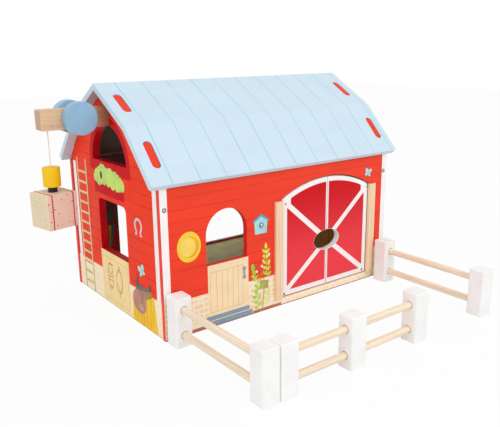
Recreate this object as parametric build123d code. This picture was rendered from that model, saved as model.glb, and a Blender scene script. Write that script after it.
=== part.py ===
"""Wooden toy barn with arched double doors, a hoist over the gable, a magnetic hay bale and fences.

Millimetres, +Z up. The origin is the centre of the barn's footprint, on the surface it stands on.
The double doors face -Y and the hoist stands out over the -X gable.
"""
import os
from math import hypot, sqrt

from build123d import *

# Walls
wall_length = 380.0
barn_depth = 258.0
wall_thickness = 6.0
wall_top_gap = 1.0          # between the wall's outer top edge and the roof
gable_thickness = 10.0
gable_inset = 1.0           # the gable lies this far inside the ends of the long walls
floor_thickness = 14.0
floor_door_gap = 2.5        # from the backs of the doors, whose hinge edges swing in towards the floor

# Roof: the outer corners of its section, from the middle of the ridge
ridge_height = 297.9
knee_offset = 77.8
knee_height = 253.0
eave_overhang = 7.1          # past the face of the long wall
eave_height = 190.7
roof_thickness = 7.2
roof_overhang = 12.4
roof_corner_radius = 3.0
slot_length = 38.0
slot_side_gap = 0.5
tab_end_gap = 0.9
tab_recess = 0.8

# Front wall: window, and the arched opening for the doors
window_centre_x = -98.4
window_sill = 81.5
window_width = 61.4
window_top = 149.6
doors_centre_x = 71.2
doors_width = 163.0
doors_bottom = 12.0
doors_crown = 166.5
doors_shoulder = 146.0
door_thickness = 9.0
door_gap = 1.0              # to the jambs and the sill
door_arch_gap = 1.7         # wider, so that a leaf's top clears the arch as it swings out
door_meeting_gap = 1.2
door_corner_radius = 8.5
door_front_round = 2.5
door_back_round = 3.0
finger_hole_width = 48.0
finger_hole_height = 29.0
finger_hole_centre = 77.5
door_post_width = 12.4
door_post_proud = 4.0
door_post_base = 10.5
door_post_top_drop = 0.6    # below the shoulder of the doors
door_post_round = 1.0
pin_radius = 1.0
pin_setback = 2.2           # behind the wall's front face
pin_edge_distance = 5.5     # from the leaf's outer edge
pin_in_leaf = 15.0
pin_in_wall = 8.0
pin_clearance = 0.08
pin_end_gap = 0.5           # between a pin's end and the end of its bore in the wall

# Gable over the hoist: doorway and hayloft arch
doorway_width = 80.0
doorway_bottom = 75.0
doorway_top = 147.0
doorway_corner_radius = 8.0
loft_radius = 49.0
loft_below_beam = 48.2      # from the beam's underside to the foot of the arch

# Back wall: open to the play room
back_opening_width = 248.0
back_opening_bottom = 17.0
back_rail_height = 18.75    # what the opening leaves of the wall above it
back_opening_radius = 12.0

# Wall screws
screw_heights = (26.0, 160.7)
screw_head_radius = 3.0
screw_head_height = 2.2
screw_shank_radius = 1.5
screw_length = 24.0

# Hoist
beam_width = 20.0
beam_height = 24.2
beam_below_ridge = 27.5     # from the roof's ridge to the beam's top
beam_past_string = 10.5     # from the string's fall to the beam's end
beam_round = 2.0
groove_width = 8.0
groove_depth = 20.0
groove_end_wall = 6.0
groove_past_spool = 7.0
axle_distance = 40.0        # from the gable's outer face
axle_above_beam_foot = 12.8
axle_radius = 3.0
axle_clearance = 0.08
wheel_radius = 20.0
wheel_thickness = 13.5
wheel_gap = 0.5
wheel_chamfer = 1.2
wheel_socket = 10.0
spool_core_radius = 4.3
spool_flange_radius = 6.5
spool_flange_thickness = 1.0
spool_side_gap = 0.5
string_radius = 0.6
string_drop_distance = 74.6     # from the gable's outer face
string_start_gap = 0.3
guide_pin_radius = 1.5
guide_pin_clearance = 0.05

# Hook and hay bale
hook_radius = 10.5
hook_height = 23.9
hook_drop = 67.8            # from the beam's underside to the hook's underside
hook_chamfer = 1.2
magnet_radius = 5.5
magnet_height = 6.1
magnet_gap = 0.3
bale_width = 40.4
bale_depth = 39.2
bale_height = 42.7
bale_turn = 11.5
bale_chamfer = 0.8
disc_radius = 6.5
disc_thickness = 1.5

# Fences
post_side = 22.5
post_height = 61.0
post_edge_round = 3.0
post_top_chamfer = 1.0
rail_radius = 4.25
rail_heights = (15.2, 46.0)
rail_socket = 14.0
side_fence_pitch = 160.5
left_fence_inset = 12.0     # from the end of the front wall to the posts' middles
left_fence_wall_gap = 2.45  # from the front wall to the back post
right_fence_inset = 17.5
right_fence_wall_gap = 8.25
front_fence_step = 1.4      # further out than the left fence's front post
front_fence_gap = 0.5       # from the left fence's front post to the first post
front_fence_bays = (97.0, 105.0)

# Places worked out from the sizes above
front_y = -barn_depth / 2
gable_x = wall_length / 2 - gable_inset - gable_thickness / 2
gable_face_x = -wall_length / 2 + gable_inset
eave_offset = barn_depth / 2 + eave_overhang
room_half_depth = barn_depth / 2 - wall_thickness
axle_x = gable_face_x - axle_distance
string_x = gable_face_x - string_drop_distance
beam_end_x = string_x - beam_past_string
jamb_half = doors_width / 2 + door_gap
half_doors = doors_width / 2
arch_rise = doors_crown - doors_shoulder
doors_arch_radius = (half_doors**2 + arch_rise**2) / (2 * arch_rise)
doors_arch_centre = doors_crown - doors_arch_radius
beam_bottom = ridge_height - beam_below_ridge - beam_height
loft_foot = beam_bottom - loft_below_beam
axle_height = beam_bottom + axle_above_beam_foot
winding_radius = spool_core_radius + string_radius
wrap_radius = guide_pin_radius + guide_pin_clearance + string_radius
string_level = axle_height - winding_radius
guide_pin_x = string_x + wrap_radius
guide_pin_height = string_level - wrap_radius
groove_low_x = beam_end_x + groove_end_wall
groove_high_x = axle_x + spool_flange_radius + groove_past_spool
hook_bottom = beam_bottom - hook_drop
hook_top = hook_bottom + hook_height
bale_top = hook_bottom - magnet_height - magnet_gap


def roof_points(depth):
    """Eave, knee and ridge (y, z) of the +Y half of the roof, that far under its outer face."""
    upper = (knee_offset, knee_height - ridge_height)
    lower = (eave_offset - knee_offset, eave_height - knee_height)
    upper_len, lower_len = hypot(*upper), hypot(*lower)
    upper_in = (upper[1] / upper_len, -upper[0] / upper_len)
    lower_in = (lower[1] / lower_len, -lower[0] / lower_len)
    ridge = (0.0, ridge_height + depth * upper_in[1] * (1 + (upper[1] / upper[0]) ** 2))
    eave = (eave_offset + depth * lower_in[0], eave_height + depth * lower_in[1])
    slope_upper, slope_lower = upper[1] / upper[0], lower[1] / lower[0]
    knee_y = (eave[1] - ridge[1] - slope_lower * eave[0]) / (slope_upper - slope_lower)
    knee = (knee_y, ridge[1] + slope_upper * knee_y)
    return eave, knee, ridge


def underside_at(y):
    """Height of the roof's underside over a place between the eave and the knee."""
    eave, knee, _ = roof_points(roof_thickness)
    return eave[1] + (knee[1] - eave[1]) * (eave[0] - y) / (eave[0] - knee[0])


wall_height = underside_at(barn_depth / 2) - wall_top_gap
back_opening_top = wall_height - back_rail_height


def slope_plane(side, upper):
    """Plane on the outer face of a roof panel, at its middle, over the gable line x = 0."""
    eave, knee, ridge = roof_points(0)
    low, high = (knee, ridge) if upper else (eave, knee)
    inward, rise = low[0] - high[0], high[1] - low[1]
    middle = Vector(0, side * (low[0] + high[0]) / 2, (low[1] + high[1]) / 2)
    run = Vector(0, -side * inward, rise)
    normal = Vector(0, side * rise, inward)
    return Plane(origin=middle, x_dir=run, z_dir=normal)


def prism_x(points, x_low, x_high):
    """Solid with a section of (y, z) points, from x_low to x_high."""
    face = Plane.YZ * make_face(Polyline(*points, close=True))
    return Pos(x_low, 0, 0) * extrude(face, amount=x_high - x_low)


def wall_panel(width, height, thickness):
    """Upright panel standing on z = 0, its outer face at y = 0 and its body towards +Y."""
    return Pos(0, thickness / 2, height / 2) * Box(width, thickness, height)


def through_y(sketch, y_low, y_high):
    """Cutter along Y with a section drawn in X and Z."""
    return Pos(0, y_high, 0) * extrude(Plane.XZ * sketch, amount=y_high - y_low)


def through_x(sketch, x_low, x_high):
    """Cutter along X with a section drawn in Y and Z."""
    return Pos(x_low, 0, 0) * extrude(Plane.YZ * sketch, amount=x_high - x_low)


def arched_sketch(half_width, bottom, arch_radius, x_centre):
    """Outline with upright sides and a shallow arch concentric with the doors."""
    spring = doors_arch_centre + sqrt(arch_radius**2 - half_width**2)
    crown = doors_arch_centre + arch_radius
    left, right = x_centre - half_width, x_centre + half_width
    outline = Polyline((left, spring), (left, bottom), (right, bottom), (right, spring))
    arch = ThreePointArc((right, spring), (x_centre, crown), (left, spring))
    return make_face([outline, arch])


def pin_places():
    """x of the two door hinge axes, left then right."""
    reach = half_doors - pin_edge_distance
    return doors_centre_x - reach, doors_centre_x + reach


def pin_spans():
    """(low, high) heights of the bottom and top hinge pins."""
    reach = half_doors - pin_edge_distance
    leaf_top = doors_arch_centre + sqrt(doors_arch_radius**2 - reach**2)
    opening_top = doors_arch_centre + sqrt((doors_arch_radius + door_arch_gap) ** 2 - reach**2)
    bottom = (doors_bottom - door_gap - pin_in_wall, doors_bottom + pin_in_leaf)
    return bottom, (leaf_top - pin_in_leaf, opening_top + pin_in_wall)


def upright_rod(x, y, low, high, radius):
    return Pos(x, y, (low + high) / 2) * Cylinder(radius, high - low)


def screw_places():
    """x of the screw columns, over the middle of each gable's edge."""
    return -gable_x, gable_x


def countersunk_screw():
    """Screw with its head's face at y = 0, pointing towards +Y."""
    head = Cone(screw_head_radius, screw_shank_radius, screw_head_height)
    shank_length = screw_length - screw_head_height
    shank = Pos(0, 0, (screw_head_height + shank_length) / 2) * Cylinder(
        screw_shank_radius, shank_length
    )
    return Rot(-90, 0, 0) * Pos(0, 0, screw_head_height / 2) * (head + shank)


def screw_bore():
    """The room that a screw takes in the wall and the gable's edge."""
    head = Cone(screw_head_radius, screw_shank_radius, screw_head_height)
    shank = Pos(0, 0, screw_length / 2) * Cylinder(screw_shank_radius, screw_length)
    bore = Pos(0, 0, screw_head_height / 2) * head + shank
    return Rot(-90, 0, 0) * bore


def at_screws(piece, front):
    """Copies of a piece at the four screws of the front or the back wall."""
    turn = Rot(0, 0, 0) if front else Rot(0, 0, 180)
    return [
        turn * Pos(x, front_y, z) * piece for x in screw_places() for z in screw_heights
    ]


def front_wall():
    wall = Pos(0, front_y, 0) * wall_panel(wall_length, wall_height, wall_thickness)
    radius = window_width / 2
    spring = window_top - radius
    window = Pos(window_centre_x, (window_sill + spring) / 2) * Rectangle(
        window_width, spring - window_sill
    ) + Pos(window_centre_x, spring) * Circle(radius)
    opening = arched_sketch(
        jamb_half, doors_bottom - door_gap, doors_arch_radius + door_arch_gap, doors_centre_x
    )
    wall -= through_y(window + opening, front_y - 1, front_y + wall_thickness + 1)
    for x in pin_places():
        for low, high in pin_spans():
            wall -= upright_rod(
                x, front_y + pin_setback, low, high, pin_radius + pin_clearance
            )
    for bore in at_screws(screw_bore(), True):
        wall -= bore
    return wall


def back_wall():
    wall = Rot(0, 0, 180) * Pos(0, front_y, 0) * wall_panel(
        wall_length, wall_height, wall_thickness
    )
    height = back_opening_top - back_opening_bottom
    opening = Pos(0, back_opening_bottom + height / 2) * RectangleRounded(
        back_opening_width, height, back_opening_radius
    )
    wall -= through_y(opening, -front_y - wall_thickness - 1, -front_y + 1)
    for bore in at_screws(screw_bore(), False):
        wall -= bore
    return wall


def gable_blank(x_centre):
    """Gable panel under the roof, with the four tabs that stand in the roof's slots."""
    eave, knee, ridge = roof_points(roof_thickness)
    shoulder = underside_at(room_half_depth)
    half = [(room_half_depth, 0.0), (room_half_depth, shoulder), knee]
    points = half + [ridge] + [(-y, z) for y, z in reversed(half)]
    x_low = x_centre - gable_thickness / 2
    panel = prism_x(points, x_low, x_low + gable_thickness)
    tab = Pos(0, 0, -roof_thickness) * extrude(
        SlotOverall(slot_length - 2 * tab_end_gap, gable_thickness),
        amount=roof_thickness - tab_recess,
    )
    for side in (-1, 1):
        for upper in (True, False):
            panel += Pos(x_centre, 0, 0) * slope_plane(side, upper).location * tab
    for front in (True, False):
        for bore in at_screws(screw_bore(), front):
            panel -= bore
    return panel


def gable_left():
    """Gable with the doorway, the hayloft arch and the hole that the hoist's beam stands in."""
    panel = gable_blank(-gable_x)
    height = doorway_top - doorway_bottom
    doorway = Pos(0, doorway_bottom + height / 2) * RectangleRounded(
        doorway_width, height, doorway_corner_radius
    )
    sill = Pos(0, doorway_bottom + doorway_corner_radius / 2) * Rectangle(
        doorway_width, doorway_corner_radius
    )
    loft = Pos(0, loft_foot) * Circle(loft_radius)
    loft -= Pos(0, loft_foot - loft_radius) * Rectangle(2 * loft_radius, 2 * loft_radius)
    beam = Pos(0, beam_bottom + beam_height / 2) * Rectangle(beam_width, beam_height)
    x_low = gable_face_x - 1
    cutter = through_x(doorway + sill + loft + beam, x_low, x_low + gable_thickness + 2)
    return panel - cutter


def gable_right():
    return gable_blank(gable_x)


def floor_panel():
    """Base board between the gables; its front edge stops behind the doors, whose feet hang lower."""
    length = 2 * gable_x - gable_thickness
    front = front_y + door_thickness + floor_door_gap
    depth = room_half_depth - front
    return Pos(0, front + depth / 2, floor_thickness / 2) * Box(length, depth, floor_thickness)


def roof_panel(side, upper):
    """One of the four roof boards, mitred at the ridge and the knee, with a slot over each gable."""
    outer_eave, outer_knee, outer_ridge = roof_points(0)
    inner_eave, inner_knee, inner_ridge = roof_points(roof_thickness)
    if upper:
        points = [outer_knee, outer_ridge, inner_ridge, inner_knee]
    else:
        points = [outer_eave, outer_knee, inner_knee, inner_eave]
    half_length = wall_length / 2 + roof_overhang
    board = prism_x([(side * y, z) for y, z in points], -half_length, half_length)
    plane = slope_plane(side, upper)
    slot = Pos(0, 0, -roof_thickness - 1) * extrude(
        SlotOverall(slot_length, gable_thickness + 2 * slot_side_gap),
        amount=roof_thickness + 2,
    )
    for x in (-gable_x, gable_x):
        board -= Pos(x, 0, 0) * plane.location * slot
    if not upper:
        square_edges = board.edges().filter_by(Axis((0, 0, 0), plane.z_dir))
        board = fillet(square_edges.sort_by(Axis.Z)[:2], roof_corner_radius)
    return board


def door_post(side):
    """Post on the face of the wall, beside the doors; side is -1 on the left and 1 on the right."""
    x = doors_centre_x + side * (half_doors + door_post_width / 2)
    height = doors_shoulder - door_post_top_drop - door_post_base
    post = Box(door_post_width, door_post_proud, height)
    front_edges = post.edges().filter_by(Axis.Z).group_by(Axis.Y)[0]
    post = fillet(front_edges, door_post_round)
    return Pos(x, front_y - door_post_proud / 2, door_post_base + height / 2) * post


def outline_edges(face):
    """Edges of a leaf's front or back face along its hinge side and its arch."""
    return [
        edge
        for edge in face.edges()
        if abs(edge.center().X - doors_centre_x) > door_meeting_gap
        and edge.center().Z > doors_bottom + door_gap
    ]


def door_leaf(side):
    """Door leaf, arched towards the middle, with its half of the finger hole."""
    pair = arched_sketch(half_doors, doors_bottom, doors_arch_radius, doors_centre_x)
    pair = fillet(pair.vertices().sort_by(Axis.Y)[-2:], door_corner_radius)
    leaf = through_y(pair, front_y, front_y + door_thickness)
    keep = half_doors - door_meeting_gap / 2
    x = doors_centre_x + side * (door_meeting_gap / 2 + keep / 2)
    leaf &= Pos(x, front_y + door_thickness / 2, doors_crown / 2) * Box(
        keep, door_thickness, doors_crown
    )
    leaf = fillet(outline_edges(leaf.faces().sort_by(Axis.Y)[-1]), door_back_round)
    leaf = fillet(outline_edges(leaf.faces().sort_by(Axis.Y)[0]), door_front_round)
    hole = Pos(doors_centre_x, finger_hole_centre) * Ellipse(
        finger_hole_width / 2, finger_hole_height / 2
    )
    leaf -= through_y(hole, front_y - 1, front_y + door_thickness + 1)
    pin_x = pin_places()[0 if side < 0 else 1]
    for low, high in pin_spans():
        leaf -= upright_rod(pin_x, front_y + pin_setback, low, high, pin_radius)
    return leaf


def hinge_pins(side):
    """The two pins pressed into a leaf, which turn in the sill and in the shoulder of the arch."""
    x = pin_places()[0 if side < 0 else 1]
    (foot, foot_top), (head_foot, head) = pin_spans()
    spans = [(foot + pin_end_gap, foot_top), (head_foot, head - pin_end_gap)]
    rods = [
        upright_rod(x, front_y + pin_setback, low, high, pin_radius) for low, high in spans
    ]
    return Compound(children=rods)


def wall_screws(front):
    return Compound(children=at_screws(countersunk_screw(), front))


def crane_beam():
    """Beam through the gable, grooved from below for the spool and the string."""
    inner_end = gable_face_x + gable_thickness
    length = inner_end - beam_end_x
    beam = Box(length, beam_width, beam_height)
    beam = Pos(beam_end_x + length / 2, 0, beam_bottom + beam_height / 2) * beam
    end_face = beam.faces().sort_by(Axis.X)[0]
    beam = fillet(end_face.edges(), beam_round)
    groove_x = (groove_low_x + groove_high_x) / 2
    groove = Box(groove_high_x - groove_low_x, groove_width, groove_depth)
    beam -= Pos(groove_x, 0, beam_bottom + groove_depth / 2) * groove
    beam -= cross_rod(axle_x, axle_height, axle_radius + axle_clearance, beam_width + 2)
    beam -= cross_rod(guide_pin_x, guide_pin_height, guide_pin_radius, beam_width + 2)
    return beam


def cross_rod(x, z, radius, length):
    """Rod along Y, centred on the hoist's middle plane."""
    return Pos(x, 0, z) * Rot(90, 0, 0) * Cylinder(radius, length)


def winch_axle():
    length = beam_width + 2 * (wheel_gap + wheel_socket)
    return cross_rod(axle_x, axle_height, axle_radius, length)


def winch_wheel(side):
    """Thick round knob, its axle glued in a blind socket."""
    wheel = chamfer(Cylinder(wheel_radius, wheel_thickness).edges(), wheel_chamfer)
    y = side * (beam_width / 2 + wheel_gap + wheel_thickness / 2)
    wheel = Pos(axle_x, y, axle_height) * Rot(90, 0, 0) * wheel
    return wheel - winch_axle()


def winch_spool():
    width = groove_width - 2 * spool_side_gap
    spool = cross_rod(axle_x, axle_height, spool_core_radius, width)
    y = (width - spool_flange_thickness) / 2
    for side in (-1, 1):
        spool += Pos(0, side * y, 0) * cross_rod(
            axle_x, axle_height, spool_flange_radius, spool_flange_thickness
        )
    return spool - cross_rod(axle_x, axle_height, axle_radius, width + 2)


def string_winding():
    """The turns of string on the spool, side by side."""
    width = groove_width - 2 * (spool_side_gap + spool_flange_thickness)
    turns = int(width / (2 * string_radius))
    winding = cross_rod(
        axle_x, axle_height, winding_radius + string_radius, turns * 2 * string_radius
    )
    return winding - cross_rod(axle_x, axle_height, spool_core_radius, width + 2)


def guide_pin():
    return cross_rod(guide_pin_x, guide_pin_height, guide_pin_radius, beam_width)


def string_run():
    """String from the spool along the groove and over the guide pin."""
    clear = winding_radius + string_radius + string_start_gap
    start_x = axle_x - sqrt(clear**2 - spool_core_radius**2)
    over = Line((start_x, 0, string_level), (guide_pin_x, 0, string_level))
    turn = TangentArc(
        (guide_pin_x, 0, string_level), (string_x, 0, guide_pin_height), tangent=(-1, 0, 0)
    )
    section = Plane(origin=over @ 0, z_dir=over % 0) * Circle(string_radius)
    return sweep(section, path=over + turn)


def hoist_string():
    """The straight fall of string that carries the hook."""
    return upright_rod(string_x, 0, hook_top, guide_pin_height, string_radius)


def hook_body():
    body = chamfer(Cylinder(hook_radius, hook_height).edges(), hook_chamfer)
    return Pos(string_x, 0, hook_bottom + hook_height / 2) * body


def hook_magnet():
    return upright_rod(string_x, 0, hook_bottom - magnet_height, hook_bottom, magnet_radius)


def hay_bale():
    block = chamfer(Box(bale_width, bale_depth, bale_height).edges(), bale_chamfer)
    block = Pos(string_x, 0, bale_top - bale_height / 2) * Rot(0, 0, bale_turn) * block
    return block - bale_disc()


def bale_disc():
    """Steel disc let into the bale's top, which the magnet holds."""
    return upright_rod(string_x, 0, bale_top - disc_thickness, bale_top, disc_radius)


def rail_rod(start, end, z):
    """Round rail between two points on plan."""
    path = Vector(end[0] - start[0], end[1] - start[1], 0)
    plane = Plane(origin=(start[0], start[1], z), z_dir=path)
    return extrude(plane * Circle(rail_radius), amount=path.length)


def fence(places):
    """Posts at the places in a row, and the two rails, which end inside the outer posts."""
    first, last = Vector(*places[0]), Vector(*places[-1])
    along = (last - first).normalized()
    inset = along * (post_side / 2 - rail_socket)
    start, end = first - inset, last + inset
    rails = [rail_rod((start.X, start.Y), (end.X, end.Y), z) for z in rail_heights]
    blank = Box(post_side, post_side, post_height)
    blank = fillet(blank.edges().filter_by(Axis.Z), post_edge_round)
    blank = chamfer(blank.faces().sort_by(Axis.Z)[-1].edges(), post_top_chamfer)
    posts = []
    for x, y in places:
        post = Pos(x, y, post_height / 2) * blank
        for rail in rails:
            post -= rail
        posts.append(post)
    return posts, rails


def side_fence_places(x, wall_gap):
    back_y = front_y - wall_gap - post_side / 2
    return [(x, back_y), (x, back_y - side_fence_pitch)]


def left_fence_places():
    return side_fence_places(left_fence_inset - wall_length / 2, left_fence_wall_gap)


def right_fence_places():
    return side_fence_places(wall_length / 2 - right_fence_inset, right_fence_wall_gap)


def front_fence_places():
    """Posts in a row across the yard, from beside the left fence's front post."""
    x_corner, y_corner = left_fence_places()[-1]
    x_first = x_corner + post_side + front_fence_gap
    x_second = x_first + front_fence_bays[0]
    columns = (x_first, x_second, x_second + front_fence_bays[1])
    return [(x, y_corner - front_fence_step) for x in columns]


def fence_nodes(name, places, post_names):
    posts, rails = fence(places)
    nodes = {f"{name}_post_{word}": post for word, post in zip(post_names, posts)}
    nodes[f"{name}_rail_lower"], nodes[f"{name}_rail_upper"] = rails
    return nodes


def barn_nodes():
    return {
        "front_wall": front_wall(),
        "back_wall": back_wall(),
        "gable_left": gable_left(),
        "gable_right": gable_right(),
        "floor_panel": floor_panel(),
        "roof_front_upper": roof_panel(-1, True),
        "roof_front_lower": roof_panel(-1, False),
        "roof_back_upper": roof_panel(1, True),
        "roof_back_lower": roof_panel(1, False),
        "wall_screws_front": wall_screws(True),
        "wall_screws_back": wall_screws(False),
        "door_post_left": door_post(-1),
        "door_post_right": door_post(1),
        "door_left": door_leaf(-1),
        "door_right": door_leaf(1),
        "hinge_pins_left": hinge_pins(-1),
        "hinge_pins_right": hinge_pins(1),
    }


def hoist_nodes():
    return {
        "crane_beam": crane_beam(),
        "guide_pin": guide_pin(),
        "string_run": string_run(),
        "hoist_string": hoist_string(),
        "winch_axle": winch_axle(),
        "winch_wheel_front": winch_wheel(-1),
        "winch_wheel_back": winch_wheel(1),
        "winch_spool": winch_spool(),
        "string_winding": string_winding(),
        "hook_body": hook_body(),
        "hook_magnet": hook_magnet(),
        "hay_bale": hay_bale(),
        "bale_disc": bale_disc(),
    }


def all_fence_nodes():
    ends = ("back", "front")
    columns = ("left", "middle", "right")
    return {
        **fence_nodes("fence_left", left_fence_places(), ends),
        **fence_nodes("fence_front", front_fence_places(), columns),
        **fence_nodes("fence_right", right_fence_places(), ends),
    }


os.makedirs("parts", exist_ok=True)
for node, shape in {**barn_nodes(), **hoist_nodes(), **all_fence_nodes()}.items():
    export_step(shape, f"parts/{node}.step")
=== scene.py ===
"""Toy barn with opening doors, hoist and fences: the looks, in metres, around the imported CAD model."""

import math

import bmesh
import bpy
from mathutils import Matrix, Vector


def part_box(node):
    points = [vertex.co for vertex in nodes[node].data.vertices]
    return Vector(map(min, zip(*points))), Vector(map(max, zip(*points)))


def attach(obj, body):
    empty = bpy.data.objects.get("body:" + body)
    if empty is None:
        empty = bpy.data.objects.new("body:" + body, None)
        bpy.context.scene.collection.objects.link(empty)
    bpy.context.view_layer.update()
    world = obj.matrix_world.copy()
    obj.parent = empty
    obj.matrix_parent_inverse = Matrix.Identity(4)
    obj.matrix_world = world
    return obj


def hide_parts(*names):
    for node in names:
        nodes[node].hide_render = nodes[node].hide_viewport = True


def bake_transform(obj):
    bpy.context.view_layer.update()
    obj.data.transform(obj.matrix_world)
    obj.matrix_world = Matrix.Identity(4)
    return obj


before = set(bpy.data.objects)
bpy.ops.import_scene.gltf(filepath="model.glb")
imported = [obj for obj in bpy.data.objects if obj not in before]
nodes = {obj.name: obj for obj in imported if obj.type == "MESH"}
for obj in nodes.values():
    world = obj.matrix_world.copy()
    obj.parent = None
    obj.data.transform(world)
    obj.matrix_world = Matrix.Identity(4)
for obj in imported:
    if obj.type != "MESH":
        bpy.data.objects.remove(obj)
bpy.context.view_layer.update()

MM = 0.001

# ---- sizes of the barn, in millimetres ----
WALL_FACE = 129.0  # outer faces of the long walls, at y = -129 and 129
WALL_INNER = 123.0
GABLE_FACE = 189.0  # outer faces of the gables, at x = -189 and 189
GABLE_INNER = 179.0
WALL_TOP = 186.75
BOARD_STEP = 14.8  # height of one printed clapboard
BOARD_LINE = 173.0  # height of one of the lines between them
BRICK_TOP = 46.5
ROOF_RIDGE = (0.0, 297.9)
ROOF_KNEE = (77.8, 253.0)
ROOF_EAVE = (136.1, 190.7)
ROOF_LINE_STEP = 36.8
ROOF_FIRST_LINE = -174.5
ROOF_THICKNESS = 7.0
FINE_LINE = 0.28  # half the width of the half-doors' lines
PRINTED_LINE = 1.1  # width of the lines on clapboards and roof
SHADOW_LINE_HEIGHT = 1.0  # height of the painted contact shadow along the walls' lower edge
TAB_REACH = 52.0  # gable edges further out than this, or above the loft, are in the tabs
LOFT_TOP = 261.0
BACK_OPENING_HALF = 125.5
DOORWAY_SHOULDER = 175.0
INSIDE_SHADE_HEIGHT = 77.5  # height above which painted shade darkens the insides of the walls
DOOR_MIDDLE = 71.2
DOOR_HALF = 81.5
DOOR_FOOT = 12.0
DOOR_THICKNESS = 9.0
DOOR_BAND = 7.0
DOOR_STILE = 2.5  # from the line where the leaves meet to their red panels
TOP_PANEL_REACH = 66.2
SIDE_PANEL_REACH = 72.6
PANEL_ARCH_CENTRE = -5.8
PANEL_ARCH_RADIUS = 165.8
BRACE_WIDTH = 7.4
BRACE_TOP = (70.0, 137.0)  # where the braces' middle lines end, out from the meeting line and up
BRACE_FOOT = (69.6, 22.2)
FINGER_HOLE = (24.0, 14.5)  # half its width and height
FINGER_HOLE_HEIGHT = 77.5
POST_FOOT = 10.5
SCREW_X = 184.0
SCREW_HEIGHTS = (26.0, 160.7)
SCREW_RADIUS = 3.0
BALE_TURN = 11.5
BALE_WIDTH = 40.4
BALE_DEPTH = 39.2
STRAP_PLACES = (-14.4, 13.9)
STRAP_WIDTH = 1.4
STRING_HEIGHTS = (246.0, 226.0, 208.0)  # points of its route between the beam and the hook
STRAND_RADIUS = 0.33
STRAND_REACH = 0.27  # from the string's middle to a strand's
STRAND_LAY = 3.4  # length of one full twist
WHEEL_EASING = 1.2
HOOK_EASING = 1.4
BIRDHOUSE_HOLE = (-44.8, 118.4)
LADDER_RAILS = (75.6, 104.4)
LADDER_FIRST_RUNG = 13.6
LADDER_STEP = 14.6
LOFT_SILL = 198.0
MERGE = 0.000001  # metres
COAT_STEP = 0.003  # each printed shape lies this much above the last
SUNK = 0.1  # prints start this far inside their board
# width of the painted shade ring round each rail's hole
HOLE_SHADE_GAP = 0.35

# ---- patterns, in metres, and the roughness of the paints ----
RING_HEART = (0.05, 0.03, -0.235)  # moves the growth rings' heart below the beam
BEECH_STREAK = (0.0016, 0.07)  # across and along the grain
BEECH_FLECK = (0.0006, 0.004)
BEAM_PAINTED_SHADE = (-0.212, -0.187)  # painted shade: the beam darkens between these places, near the gable under the roof
BOARD_PATCH = (0.05, 0.05, 0.02)
LINE_WEAR = (0.05, 0.05, 0.006)
PLAIN_GRAIN = (0.0016, 0.0016, 0.05)
BRICK_WOBBLE = 0.0016
BRICK_SIZE = (0.0142, 0.0072, 0.0009)  # width, row height and joint
PEEL = 0.0011
PAINT_GRAIN = 0.00004
FINE_GRAIN = 0.00003
PAINT_GLOSS = 0.46
BOARD_GLOSS = 0.4
STEEL_GLOSS = 0.32

# ---- camera and light ----
CAMERA_TURN = (0.647, 0.258, -0.011)  # turned right, tipped down and rolled, in radians
CAMERA_PLACE = (-520.163, -734.8, 337.249)
LENS = 45.12
FLOOR_HALF = 4.0
FLOOR_GREY = 0.88
FLOOR_WHITE = 0.93  # the rest of the floor shows its shadow
WORLD_LIGHT = 0.80
LAMP_SIZE = 1.2
LAMP_AIM = (0, -0.05, 0.12)
LAMPS = (("key", (0.15, -1.3, 1.3), 6.4), ("fill", (-1.5, -0.6, 0.9), 3.4))


def span(node):
    """A node's lowest and highest corners at rest, in millimetres."""
    return tuple(Vector(corner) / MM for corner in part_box(node))


hook_low, hook_high = span("hook_body")
wheel_low, wheel_high = span("winch_wheel_back")
string_low, string_high = span("hoist_string")
bale_low, bale_high = span("hay_bale")
STRING_X = (hook_low.x + hook_high.x) / 2

# ---- colours, as they look on a screen ----
BARN_RED = (242, 64, 36)
GABLE_RED = (246, 58, 22)
BARN_LINE = (196, 40, 26)
EDGE_RED = (255, 58, 42)
# painted shade for the back opening's cut edges
THRESHOLD_PAINTED_SHADE = (116, 18, 22)
CRIMSON = (214, 18, 32)
INSIDE_RED = (226, 46, 58)
# painted shade on the walls' upper insides
INSIDE_PAINTED_SHADE = (130, 92, 98)
KHAKI = (206, 196, 132)
PLYWOOD = (206, 164, 122)
ROOF_BLUE = (206, 226, 239)
ROOF_LINE = (136, 203, 215)
BRICKS = ((249, 216, 164), (253, 229, 188))
# painted reflection: paler than the front's bricks, as reflected light washes the lower gable
GABLE_BRICKS_PAINTED_SHEEN = ((253, 232, 178), (254, 240, 200))
# painted light: paler bricks for the strip in the doors' shade
SILL_BRICKS_PAINTED_LIGHT = ((254, 230, 184), (255, 240, 208))
MORTAR = (254, 246, 236)
TAN = (234, 204, 150)
WHITE = (250, 247, 247)
POST_WHITE = (248, 248, 247)
BEECH = (248, 230, 204)
FOOT_PAINTED_SHADOW = (150, 62, 44)
TAB_RED = (236, 70, 50)
BARE_WOOD = (206, 146, 80)
# painted shade for the roof's underside over the inside
ROOF_UNDERSIDE_PAINTED_SHADE = (120, 112, 100)
# painted shade on the beam near the gable
BEECH_PAINTED_SHADE = (138, 76, 54)
STEP_BLUE = (138, 158, 174)
WHEEL_BLUE = (145, 187, 216)
HOOK_YELLOW = (250, 204, 26)
MAGNET_BLACK = (46, 42, 44)
STRAP_RED = (198, 30, 50)
COTTON = (244, 240, 230)
# dark red above, and a painted reflection of the floor towards the foot
DOOR_REDS_PAINTED_SHEEN = ((209, 14, 28), (240, 65, 73))
BALE_SIDES = ((238, 208, 190), (234, 202, 184))
BALE_END = ((218, 198, 158), (248, 234, 204))
BALE_END_DARK = (176, 154, 122)
BALE_TOP = (238, 214, 184)
BALE_SPECK = (168, 46, 56)


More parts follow.
